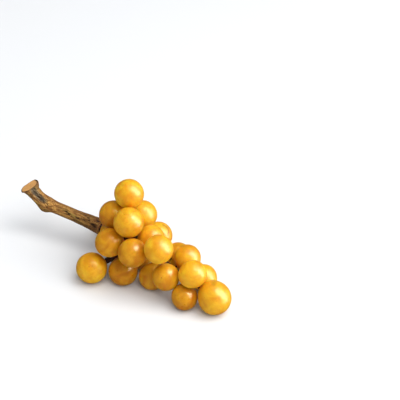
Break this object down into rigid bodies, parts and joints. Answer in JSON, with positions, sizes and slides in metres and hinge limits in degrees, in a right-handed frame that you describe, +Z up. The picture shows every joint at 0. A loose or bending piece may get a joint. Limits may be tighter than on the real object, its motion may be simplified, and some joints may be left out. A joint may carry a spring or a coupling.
{
  "type": "ornamental stone bunch of grapes on a vine twig",
  "caption": "Ornamental bunch of polished yellow stone grapes on taped wires, set in a cut vine twig, lying on a table.",
  "frame": {"origin": "on the table, under the middle of the bunch's outer box", "axes": "+X along the bunch from the twig's sawn end to the tip grape, +Z up"},
  "size_m": [0.1968, 0.0846, 0.0764],
  "materials": {
    "yellow_stone": "polished, slightly translucent honey yellow with cloudy patches",
    "vine_wood": "dry brown bark with fissures, paler where it is sawn",
    "brown_tape": "dark brown crepe tape wound round wire"
  },
  "bodies": {
    "root": {"vine_twig": "vine_wood", "taped_wires": "brown_tape", "grape_01": "yellow_stone", "grape_02": "yellow_stone", "grape_03": "yellow_stone", "grape_04": "yellow_stone", "grape_05": "yellow_stone", "grape_06": "yellow_stone", "grape_07": "yellow_stone", "grape_08": "yellow_stone", "grape_09": "yellow_stone", "grape_10": "yellow_stone", "grape_11": "yellow_stone", "grape_12": "yellow_stone", "grape_13": "yellow_stone", "grape_14": "yellow_stone", "grape_15": "yellow_stone", "grape_16": "yellow_stone", "grape_17": "yellow_stone", "grape_18": "yellow_stone", "grape_19": "yellow_stone", "grape_20": "yellow_stone", "grape_21": "yellow_stone", "grape_22": "yellow_stone", "grape_23": "yellow_stone", "grape_24": "yellow_stone"}
  },
  "joints": []
}
